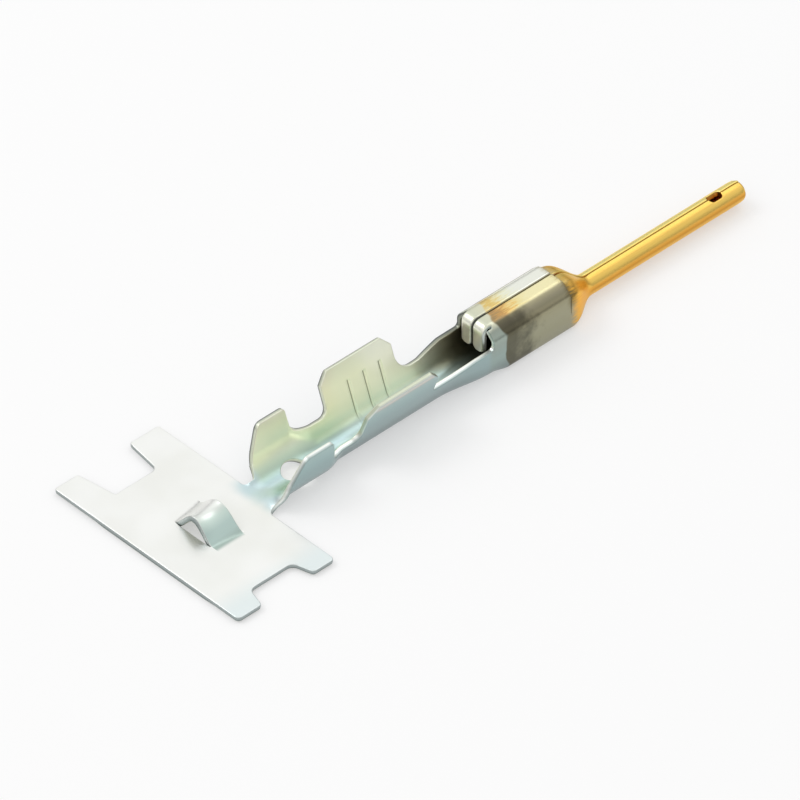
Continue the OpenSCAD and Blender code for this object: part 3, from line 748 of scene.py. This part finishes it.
def build_sheet():
    """The closed sheet: points, normals, places on the blank, marks of skin and cut, and polygons."""
    outline = outer_loop()
    floor_hole, *slits = hole_loops()
    loops = [outline, floor_hole] + slits
    sizes = [rim_sizes(outline), rim_sizes(floor_hole)] + [rim_sizes(slit, True) for slit in slits]
    insets = [untangled(inset_loop(loop, size[2])) for loop, size in zip(loops, sizes)]
    verts, faces, place = filled(insets)
    x, q = verts[:, 0], verts[:, 1]
    count = len(verts)
    co = [skin(x, q, True), skin(x, q, False)]
    normals = [skin_normal(x, q, True), skin_normal(x, q, False)]
    blank = [verts, verts]
    marks = [np.tile([1.0, 0.0], (count, 1)), np.tile([0.0, 0.0], (count, 1))]
    polygons = [tuple(f) for f in faces] + [tuple(f[::-1] + count) for f in faces]

    # Rounded rims along every cut edge
    made, first = 2 * count, 0
    for loop, inset, (r_in, r_out, d) in zip(loops, insets, sizes):
        n = len(loop)
        p_edge, _, _, n_edge = frame_at(loop[:, 0], loop[:, 1])
        p_in, _, _, n_in = frame_at(inset[:, 0], inset[:, 1])
        out = p_edge - p_in
        out = out / np.linalg.norm(out, axis=-1)[:, None]
        skin_row = np.array([place[first + i] for i in range(n)])
        rows = [skin_row]
        for back, high, along, up in rim_profile(r_in, r_out):
            share = (back / d)[:, None]
            normal = n_edge + (n_in - n_edge) * share
            normal /= np.linalg.norm(normal, axis=-1, keepdims=True)
            co.append(p_edge + (p_in - p_edge) * share + normal * high[:, None])
            facing = out * along + normal * up
            normals.append(facing / np.linalg.norm(facing, axis=-1, keepdims=True))
            blank.append(loop + (inset - loop) * share)
            marks.append(np.stack([(high + HALF) / SHEET, np.full(n, 1.0)], -1))
            rows.append(made + np.arange(n))
            made += n
        rows.append(skin_row + count)
        for upper, lower in zip(rows[:-1], rows[1:]):
            for i in range(n):
                j = (i + 1) % n
                # A side pulled together to one point leaves a triangle
                polygons.append(tuple(dict.fromkeys((upper[j], upper[i], lower[i], lower[j]))))
        first += n
    return (np.concatenate(co), np.concatenate(normals), np.concatenate(blank), np.concatenate(marks),
            polygons)


def make_terminal():
    """The terminal's one piece."""
    co, normals, blank, marks, polygons = build_sheet()
    mesh = bpy.data.meshes.new("folded_sheet")
    mesh.from_pydata((co * MM).tolist(), [], [tuple(int(i) for i in p) for p in polygons])
    for name, data in (("blank", blank), ("skin", marks)):
        layer = mesh.uv_layers.new(name=name)
        index = np.zeros(len(mesh.loops), np.int32)
        mesh.loops.foreach_get("vertex_index", index)
        layer.data.foreach_set("uv", data[index].astype(np.float32).ravel())
    mesh.polygons.foreach_set("use_smooth", np.ones(len(mesh.polygons), bool))
    mesh.normals_split_custom_set_from_vertices(normals.astype(float).tolist())
    mesh.update()
    piece = bpy.data.objects.new("folded_sheet", mesh)
    bpy.context.collection.objects.link(piece)
    return piece


class Nodes:
    """Short way to write a material's node tree."""

    def __init__(self, tree):
        self.tree = tree
        tree.nodes.clear()

    def add(self, kind, inputs=None, **settings):
        """A node with its settings and its inputs."""
        node = self.tree.nodes.new(kind)
        for key, value in settings.items():
            setattr(node, key, value)
        for key, value in (inputs or {}).items():
            self.set(node.inputs[key], value)
        return node

    def set(self, socket, value):
        """Links the socket to another one, or gives it a constant value."""
        if isinstance(value, bpy.types.NodeSocket):
            self.tree.links.new(value, socket)
        else:
            socket.default_value = value

    def math(self, operation, a, b=0.0, clamp=False):
        """One sum of two values."""
        return self.add("ShaderNodeMath", {0: a, 1: b}, operation=operation, use_clamp=clamp).outputs[0]

    def ramp(self, value, low, high, out_low=0.0, out_high=1.0):
        """From out_low to out_high with soft ends, while value goes from low to high."""
        inputs = {"Value": value, "From Min": low, "From Max": high, "To Min": out_low, "To Max": out_high}
        return self.add("ShaderNodeMapRange", inputs, interpolation_type="SMOOTHSTEP").outputs["Result"]

    def blend(self, factor, a, b):
        """Colour a, turning into b as the factor goes to one."""
        node = self.add("ShaderNodeMix", {"Factor": factor}, data_type="RGBA")
        self.set(node.inputs[6], a)
        self.set(node.inputs[7], b)
        return node.outputs[2]

    def stops(self, value, low, high, stops):
        """Colour ramp over value, with its stops given in value's own units."""
        share = self.math("DIVIDE", self.math("SUBTRACT", value, low), high - low, clamp=True)
        node = self.add("ShaderNodeValToRGB", {0: share})
        elements = node.color_ramp.elements
        while len(elements) < len(stops):
            elements.new(1.0)
        for element, (at, _) in zip(elements, stops):
            element.position = (at - low) / (high - low)
        for element, (_, colour) in zip(elements, stops):
            element.color = colour
        return node.outputs[0]

    def colours(self, value, low, high, stops):
        """Colour ramp with colours from 0 to 255."""
        return self.stops(value, low, high, [(at, srgb(*rgb)) for at, *rgb in stops])

    def grey(self, value, low, high, stops):
        """Colour ramp of greys."""
        return self.stops(value, low, high, [(at, (g, g, g, 1.0)) for at, g in stops])

    def times(self, colour, factor):
        """Product of two colours."""
        node = self.add("ShaderNodeMix", {"Factor": 1.0}, data_type="RGBA", blend_type="MULTIPLY")
        self.set(node.inputs[6], colour)
        self.set(node.inputs[7], factor)
        return node.outputs[2]

    def noise(self, vector, scale, detail=3.0, roughness=0.5):
        """Noise between zero and one."""
        node = self.add("ShaderNodeTexNoise", {"Vector": vector, "Scale": scale, "Detail": detail,
                                               "Roughness": roughness})
        return node.outputs["Fac"]

    def shifted(self, value, noise, reach):
        """Value moved to and fro by a noise around one half."""
        return self.math("ADD", value, self.math("MULTIPLY", self.math("SUBTRACT", noise, 0.5), reach))


def srgb(r, g, b):
    """A colour given in 0 to 255, as the shader takes it."""
    def lin(c):
        c /= 255
        return c / 12.92 if c <= 0.04045 else ((c + 0.055) / 1.055) ** 2.4
    return (lin(r), lin(g), lin(b), 1.0)


def blank_fields(n):
    """What the finish is painted by: the place on the flat blank, the skin, the cut edges and some noise."""
    blank = n.add("ShaderNodeSeparateXYZ", {0: n.add("ShaderNodeUVMap", uv_map="blank").outputs[0]})
    marks = n.add("ShaderNodeSeparateXYZ", {0: n.add("ShaderNodeUVMap", uv_map="skin").outputs[0]})
    place = n.add("ShaderNodeTexCoord").outputs["Object"]
    x, q = blank.outputs[0], blank.outputs[1]
    lengthwise = n.add("ShaderNodeCombineXYZ", {0: n.math("MULTIPLY", x, 0.9), 1: n.math("MULTIPLY", q, 6.0)})
    drawn = n.add("ShaderNodeCombineXYZ", {0: n.math("MULTIPLY", x, 0.25), 1: n.math("MULTIPLY", q, 9.0)})
    cloud = n.noise(place, 330.0, 2.0)
    return SimpleNamespace(
        x=x, q=q, s=n.shifted(n.math("ABSOLUTE", q), cloud, 0.15), far=n.ramp(q, -0.05, 0.05),
        inner=n.ramp(marks.outputs[0], 0.35, 0.65), height=marks.outputs[0], cut=marks.outputs[1],
        cloud=cloud, grain=n.noise(place, 7000.0, 2.0, 0.6), wobble=n.noise(place, 1100.0, 1.0),
        mottle=n.noise(place, 1500.0, 3.0, 0.6), flecks=n.noise(lengthwise.outputs[0], 2.2, 3.0, 0.65),
        streaks=n.noise(drawn.outputs[0], 2.0, 2.0, 0.6))


def band(n, value, low, high, soft):
    """One between low and high, with soft ends."""
    return n.math("MULTIPLY", n.ramp(value, low - soft, low + soft), n.ramp(value, high + soft, high - soft))


def tin_colour(n, f):
    """Pale strip, bluish floors, greenish wings, and painted light: shade on the outer walls, the strip's
    underside, the lance's near slope and the grooves, highlights on the lance's far slope and the flaps, and
    a throat painted darker towards the box.

    Here and below, stops lie at places on the blank in millimetres.
    """
    along = n.shifted(f.x, f.wobble, 0.5)
    barrel_in = n.colours(f.s, 0.0, 3.2, [
        (0.0, 192, 214, 216), (0.35, 186, 209, 206), (0.65, 204, 221, 209), (0.95, 226, 236, 217),
        (1.3, 245, 249, 230), (1.8, 252, 254, 235), (2.5, 252, 254, 233), (3.1, 244, 247, 228)])
    insulation_in = n.colours(f.s, 0.0, 3.2, [
        (0.0, 217, 241, 251), (0.3, 178, 203, 202), (0.6, 175, 198, 183), (0.95, 205, 223, 201),
        (1.3, 238, 246, 222), (1.8, 252, 252, 227), (2.5, 251, 249, 226), (3.1, 240, 236, 221)])
    barrel_in = n.blend(n.ramp(along, -8.7, -9.9), barrel_in, insulation_in)
    strip = n.blend(n.ramp(f.cloud, 0.3, 0.7), srgb(245, 246, 241), srgb(252, 253, 250))
    # Painted shade: the strip's near side a little darker and bluer
    strip = n.blend(n.ramp(f.q, -3.2, -4.6, 0.0, 0.6), strip, srgb(226, 241, 243))
    neck = n.math("MULTIPLY", n.ramp(along, -15.3, -14.4), n.ramp(f.s, 1.5, 0.8))
    skin_in = n.blend(neck, strip, srgb(206, 227, 230))
    skin_in = n.blend(n.ramp(along, -14.2, -13.6), skin_in, barrel_in)
    # Painted shade: the inner skin grows dark deeper in the throat towards the box, and sooner low on the
    # floor
    lit = n.math("SUBTRACT", along, n.ramp(f.s, 0.95, 0.3, 0.0, 0.6))
    depth = n.stops(lit, -5.6, -2.2, [
        (-5.6, WHITE), (-4.4, WHITE), (-3.95, (0.9, 0.87, 0.82, 1.0)),
        (-3.2, (0.56, 0.52, 0.44, 1.0)), (-2.6, (0.26, 0.23, 0.17, 1.0)), (-2.2, (0.2, 0.17, 0.12, 1.0))])
    skin_in = n.times(skin_in, depth)
    # The lance's two slopes: painted shade on the near slope, a painted highlight on the far one
    bridge = n.math("MULTIPLY", band(n, f.x, LANCE_REAR + 0.03, LANCE_REAR + LANCE_L - 0.03, 0.02),
                    band(n, f.q, -1.38, 0.9, 0.12))
    slopes = n.colours(f.q, -1.4, 0.5, [
        (-1.38, 172, 190, 182), (-1.2, 176, 195, 187), (-0.9, 193, 215, 209), (-0.6, 197, 219, 213),
        (-0.3, 222, 240, 231), (-0.1, 240, 246, 240), (0.1, 246, 249, 244), (0.35, 255, 255, 252)])
    skin_in = n.blend(bridge, skin_in, slopes)
    # Serration grooves: painted shade along the wall that faces the pin
    below_end = n.ramp(f.s, SERRATION_S + 0.03, SERRATION_S - 0.05)
    up_the_wall = n.math("MULTIPLY", below_end, n.ramp(f.s, 0.35, 1.2))
    for middle in SERRATION_X:
        # Painted shade in each groove
        line = n.math("MULTIPLY", band(n, f.x, middle - 0.03, middle + 0.03, 0.025), up_the_wall)
        skin_in = n.blend(n.math("MULTIPLY", line, 0.75), skin_in, srgb(96, 92, 60))

    # Outer walls: painted shade keeps them darker than the inner skin; the collar factor tints and darkens
    # them near the box
    barrel_out = n.colours(f.s, 0.8, 3.2, [
        (0.8, 140, 154, 155), (1.25, 150, 166, 166), (1.7, 161, 181, 181), (2.1, 161, 183, 183),
        (2.5, 164, 189, 188), (2.9, 171, 195, 193), (3.2, 176, 197, 193)])
    collar = n.stops(f.s, 1.2, 3.3, [
        (1.2, (0.93, 0.91, 0.88, 1.0)), (1.9, (1.0, 0.97, 0.9, 1.0)), (2.45, (0.94, 0.81, 0.74, 1.0)),
        (2.8, (0.96, 0.84, 0.74, 1.0)), (3.1, (0.84, 0.73, 0.65, 1.0)), (3.3, (0.85, 0.76, 0.68, 1.0))])
    barrel_out = n.blend(n.ramp(f.x, -2.7, -2.35), barrel_out, n.times(barrel_out, collar))
    # Flaps: a painted highlight just behind their bend, near x = -2.35, and painted shade on the near flap
    flap = n.colours(f.x, -3.6, -1.7, [
        (-3.6, 236, 228, 219), (-3.2, 236, 228, 218), (-2.65, 230, 222, 208), (-2.45, 244, 243, 222),
        (-2.35, 255, 255, 240), (-2.25, 244, 247, 226), (-2.1, 216, 219, 196), (-1.7, 221, 222, 197)])
    near_shade = n.grey(f.x, -2.7, -2.3, [(-2.6, 0.8), (-2.4, 1.0)])
    flap = n.times(flap, n.blend(f.far, near_shade, WHITE))
    skin_out = n.blend(n.ramp(f.s, 3.05, 3.3), barrel_out, flap)
    # Painted shade: the strip's outer skin is an olive grey, so the lance's opening looks shaded
    skin_out = n.blend(n.ramp(along, -15.0, -14.2), srgb(168, 174, 158), skin_out)
    return n.blend(f.inner, skin_out, skin_in)


def nickel_colour(n, f):
    """Smoky nickel on the box's sides, with worn flecks of gold along its top."""
    side = n.colours(f.s, 0.9, 3.5, [
        (0.9, 160, 158, 138), (1.35, 162, 160, 138), (1.7, 162, 160, 135), (2.1, 163, 161, 136),
        (2.5, 161, 158, 131), (2.65, 157, 153, 126), (2.8, 156, 150, 122), (2.95, 148, 143, 118),
        (3.12, 162, 156, 131), (3.3, 184, 177, 144), (3.42, 207, 198, 160)])
    smoke = n.grey(n.shifted(f.x, f.mottle, 2.6), -1.7, 0.4, [
        (-1.7, 0.39), (-1.15, 0.37), (-0.8, 0.42), (-0.45, 0.55), (-0.1, 0.82), (0.3, 1.0)])
    side = n.times(side, smoke)
    worn = n.shifted(f.x, f.flecks, 2.2)
    near_top = n.colours(worn, -1.7, 0.4, [
        (-1.7, 172, 146, 104), (-1.2, 206, 162, 100), (-0.9, 228, 188, 114), (-0.6, 243, 211, 136),
        (-0.3, 242, 228, 166), (0.3, 247, 239, 190)])
    # Painted shade on the near side where the slanted edge turns into the top
    near_top = n.times(near_top, n.grey(f.s, 3.3, 3.5, [(3.34, 0.72), (3.47, 1.0)]))
    far_top = n.colours(worn, -1.7, 0.4, [
        (-1.7, 232, 221, 172), (-1.2, 228, 197, 118), (-0.9, 235, 214, 144), (-0.6, 239, 233, 190),
        (-0.3, 239, 241, 214), (0.3, 240, 242, 231)])
    top = n.blend(f.far, near_top, far_top)
    outside = n.blend(n.ramp(n.math("ADD", f.s, n.math("MULTIPLY", f.far, 0.16)), 3.28, 3.42), side, top)
    # A darker, gold-brown band on the box's front end beside the relief slit
    blush = n.math("MULTIPLY", n.ramp(n.shifted(f.x, f.flecks, 0.5), 1.75, 2.25), n.ramp(f.s, 2.0, 2.6))
    outside = n.times(outside, n.blend(blush, WHITE, (0.55, 0.46, 0.28, 1.0)))
    # Dark inner skin: painted shade inside the box
    return n.blend(f.inner, outside, srgb(92, 86, 66))


def gold_colour(n, f):
    """Drawn gold on the funnel and the pin, with painted shade and painted highlights across the pin."""
    funnel = n.colours(f.s, 0.8, 3.9, [
        (0.8, 222, 178, 92), (1.5, 244, 190, 90), (1.9, 250, 188, 82), (2.4, 250, 187, 78),
        (2.7, 252, 194, 86), (3.0, 246, 188, 82), (3.3, 240, 190, 90), (3.6, 226, 182, 82),
        (3.88, 228, 200, 104)])
    # Pin colours over s carry painted light: a painted shade band near s = 2.1 between painted highlights
    pin = n.colours(f.s, 0.0, 3.9, [
        (0.0, 222, 168, 82), (1.5, 255, 210, 114), (2.1, 206, 148, 62), (2.4, 236, 177, 80),
        (2.7, 255, 218, 114), (3.3, 254, 212, 110), (3.6, 248, 205, 104), (3.88, 250, 224, 124)])
    # Painted highlight along the top of the pin on the far side
    pin = n.blend(n.math("MULTIPLY", f.far, band(n, f.s, 3.2, 3.8, 0.12)), pin, srgb(255, 242, 158))
    outside = n.blend(n.ramp(f.x, 3.4, 4.2), funnel, pin)
    outside = n.blend(n.ramp(f.streaks, 0.5, 0.75, 0.0, 0.3), outside, srgb(190, 128, 46))
    return n.blend(f.inner, outside, srgb(206, 138, 52))


def plated_sheet():
    """Tin, nickel and gold on one sheet, told apart by the place on the flat blank."""
    material = bpy.data.materials.new("plated_sheet")
    material.use_nodes = True
    n = Nodes(material.node_tree)
    f = blank_fields(n)
    on_box = n.ramp(n.shifted(f.x, f.wobble, 1.1), -1.62, -1.5)
    on_pin = n.ramp(n.shifted(f.x, f.flecks, 0.9), 2.05, 2.6)
    colour = n.blend(on_pin, n.blend(on_box, tin_colour(n, f), nickel_colour(n, f)), gold_colour(n, f))

    # Cut edges, with stops over the sheet's thickness from the outer to the inner skin. Near edges carry a
    # painted highlight, far edges painted shade that deepens towards the box, and the strip's edges are
    # darker towards the outer skin, partly a rough fracture zone, partly painted shade.
    edge = n.grey(f.height, 0.0, 1.0, [(0.04, 0.0), (0.15, 1.0), (0.85, 1.0), (1.0, 0.0)])
    # Strip edges: darker towards the outer skin, partly a rough fracture zone, partly painted shade
    strip_edge = n.colours(f.height, 0.0, 1.0, [
        (0.1, 92, 103, 105), (0.3, 128, 139, 140), (0.6, 148, 158, 158), (0.95, 160, 169, 168)])
    # Near edges: painted highlight, dimmer and olive on the conductor wings
    lit_near_edge = n.colours(f.height, 0.0, 1.0, [
        (0.05, 160, 174, 172), (0.3, 198, 209, 205), (0.6, 250, 253, 250), (0.95, 232, 239, 224)])
    olive = n.colours(f.height, 0.0, 1.0, [
        (0.05, 214, 224, 220), (0.25, 232, 238, 230), (0.45, 196, 203, 182), (0.95, 186, 193, 168)])
    lit_near_edge = n.blend(band(n, f.x, -9.8, -5.8, 0.1), lit_near_edge, olive)
    # Far edges: painted shade, deeper towards the box
    shaded_far_edge = n.colours(f.height, 0.0, 1.0, [
        (0.05, 110, 107, 104), (0.3, 126, 124, 119), (0.45, 200, 206, 188), (0.9, 226, 231, 206)])
    shaded_far_edge = n.times(shaded_far_edge, n.grey(f.x, -5.4, -2.2, [
        (-5.4, 1.0), (-4.6, 0.8), (-3.8, 0.5), (-2.8, 0.34), (-2.2, 0.4)]))
    cut_colour = n.blend(n.ramp(f.x, -14.9, -14.3), strip_edge, n.blend(f.far, lit_near_edge, shaded_far_edge))
    cut_colour = n.blend(n.ramp(f.x, -1.7, -1.6), cut_colour, srgb(176, 168, 140))
    cut_colour = n.blend(n.ramp(f.x, 2.1, 2.4), cut_colour, srgb(196, 138, 58))
    colour = n.blend(n.math("MULTIPLY", n.math("MULTIPLY", f.cut, edge), 0.9), colour, cut_colour)

    # How metallic: 0.75 on the tin, 0.92 on the nickel and 1 on the gold
    plated = n.math("ADD", n.math("MULTIPLY", on_box, 0.17), n.math("MULTIPLY", on_pin, 0.08))
    metal = n.math("ADD", 0.75, plated)
    sheen = n.blend(on_pin, WHITE, (1.0, 0.92, 0.7, 1.0))
    rough = n.math("ADD", n.ramp(f.grain, 0.3, 0.7, 0.29, 0.33), n.math("MULTIPLY", on_pin, 0.03))
    relief = n.math("ADD", n.math("MULTIPLY", f.grain, 0.1), n.math("MULTIPLY", f.streaks, on_box))
    bump = n.add("ShaderNodeBump", {"Height": relief, "Strength": 0.06, "Distance": 0.00002})
    shader = n.add("ShaderNodeBsdfPrincipled", {"Base Color": colour, "Metallic": metal, "Roughness": rough,
                                                "Specular Tint": sheen, "Normal": bump.outputs[0]})
    out = n.add("ShaderNodeOutputMaterial")
    n.tree.links.new(shader.outputs[0], out.inputs[0])
    return material


def make_floor():
    """Pale floor just under the part. Seen directly or in the metal it is partly plain white."""
    mesh = bpy.data.meshes.new("floor")
    corners = [(x * FLOOR_SIDE, y * FLOOR_SIDE, 0) for x, y in ((-1, -1), (1, -1), (1, 1), (-1, 1))]
    mesh.from_pydata(corners, [], [(0, 1, 2, 3)])
    floor = bpy.data.objects.new("floor", mesh)
    floor.location.z = FLOOR_Z
    bpy.context.collection.objects.link(floor)
    material = bpy.data.materials.new("floor")
    material.use_nodes = True
    n = Nodes(material.node_tree)
    path = n.add("ShaderNodeLightPath")
    seen = n.math("MAXIMUM", path.outputs["Is Camera Ray"],
                  n.math("MAXIMUM", path.outputs["Is Glossy Ray"], path.outputs["Is Transmission Ray"]))
    plain = n.add("ShaderNodeBsdfDiffuse", {"Color": FLOOR_COLOUR})
    white = n.add("ShaderNodeEmission", {"Color": WHITE, "Strength": 1.0})
    mixed = n.add("ShaderNodeMixShader", {"Fac": n.math("MULTIPLY", seen, FLOOR_WHITE)})
    n.tree.links.new(plain.outputs[0], mixed.inputs[1])
    n.tree.links.new(white.outputs[0], mixed.inputs[2])
    out = n.add("ShaderNodeOutputMaterial")
    n.tree.links.new(mixed.outputs[0], out.inputs[0])
    mesh.materials.append(material)


def make_light():
    """Soft studio: a bright sky with a dark ring near the horizon, and three large lamps."""
    world = bpy.data.worlds.new("studio")
    world.use_nodes = True
    n = Nodes(world.node_tree)
    aim = n.add("ShaderNodeTexCoord").outputs["Generated"]
    high = n.add("ShaderNodeSeparateXYZ", {0: aim}).outputs[2]
    toward = n.add("ShaderNodeVectorMath", {0: aim, 1: SKY_SIDE}, operation="DOT_PRODUCT")
    toward = toward.outputs["Value"]
    ring = n.grey(high, 0.0, 1.0, [
        (0.0, 0.3), (0.14, 0.34), (0.32, 0.8), (0.5, 0.94), (0.65, 1.0), (0.8, 0.92), (1.0, 0.72)])
    sky = n.times(n.grey(toward, -0.2, 0.8, [(-0.2, 0.82), (0.3, 0.88), (0.8, 0.98)]), ring)
    back = n.add("ShaderNodeBackground", {"Color": sky, "Strength": 1.0})
    out = n.add("ShaderNodeOutputWorld")
    n.tree.links.new(back.outputs[0], out.inputs[0])
    bpy.context.scene.world = world
    for name, place, size, power in LAMPS:
        data = bpy.data.lights.new(name, "AREA")
        data.size = size
        data.energy = power
        lamp = bpy.data.objects.new(name, data)
        lamp.location = place
        beam = Vector(LAMP_AIM) - Vector(place)
        lamp.rotation_euler = beam.to_track_quat("-Z", "Y").to_euler()
        bpy.context.collection.objects.link(lamp)


def make_camera():
    """The camera that shows the part as the photograph does."""
    across, along = math.sin(CAMERA_AZIMUTH), math.cos(CAMERA_AZIMUTH)
    flat = math.cos(CAMERA_ELEVATION)
    back = Vector((across * flat, -along * flat, math.sin(CAMERA_ELEVATION)))
    right = Vector((along, across, 0))
    up = back.cross(right)
    target = Vector(CAMERA_AIM) + right * CAMERA_RIGHT + up * CAMERA_UP
    data = bpy.data.cameras.new("camera")
    data.sensor_width = 36
    data.lens = CAMERA_LENS
    data.clip_start = 0.01
    data.clip_end = 20
    camera = bpy.data.objects.new("camera", data)
    camera.location = (target + back * CAMERA_RANGE) * MM
    camera.rotation_euler = back.to_track_quat("Z", "Y").to_euler()
    bpy.context.collection.objects.link(camera)
    bpy.context.scene.camera = camera


terminal = make_terminal()
terminal.data.materials.append(plated_sheet())
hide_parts("crimp_terminal")
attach(terminal, "root")
make_floor()
make_light()
make_camera()
bpy.context.scene.view_settings.view_transform = "Standard"
